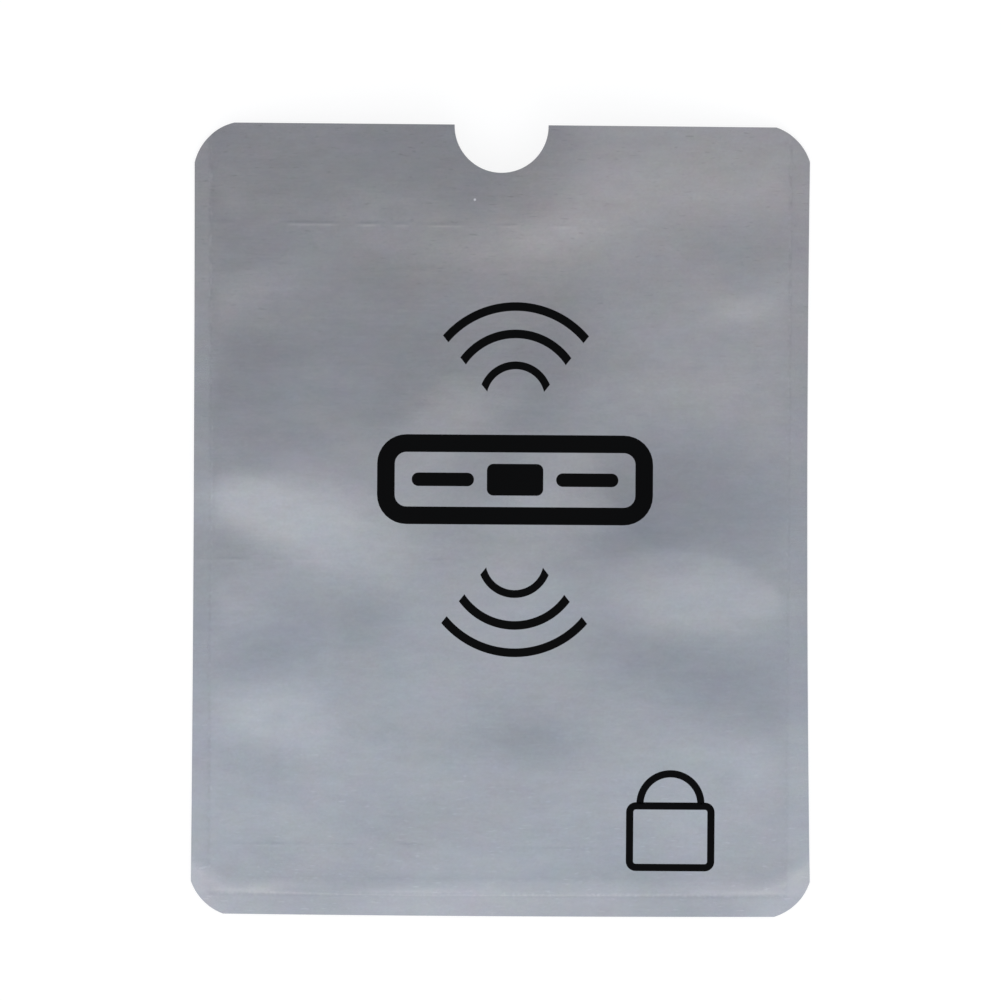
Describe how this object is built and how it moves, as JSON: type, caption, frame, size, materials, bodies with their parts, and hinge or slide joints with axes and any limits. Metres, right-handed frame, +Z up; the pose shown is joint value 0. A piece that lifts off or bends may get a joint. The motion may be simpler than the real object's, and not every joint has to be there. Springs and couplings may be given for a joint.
{
  "type": "rfid card sleeve",
  "caption": "Flat foil laminate sleeve with heat-sealed sides and bottom, an open mouth and a half-round thumb notch.",
  "frame": {"origin": "on the table under the middle of the outline, with the sleeve lying on its rear wall", "axes": "+X across the sleeve to the right, +Y along the sleeve from the bottom seal to the mouth, +Z up out of the front wall"},
  "size_m": [0.105, 0.135, 0.0055],
  "materials": {
    "cover_film": "satin",
    "shield_foil": "gloss",
    "liner": "satin",
    "seal": "satin"
  },
  "bodies": {
    "root": {"rear_cover_film": "cover_film", "rear_shield_foil": "shield_foil", "rear_liner": "liner", "left_seal": "seal", "right_seal": "seal", "bottom_seal": "seal", "front_liner": "liner", "front_shield_foil": "shield_foil", "front_cover_film": "cover_film"}
  },
  "joints": []
}
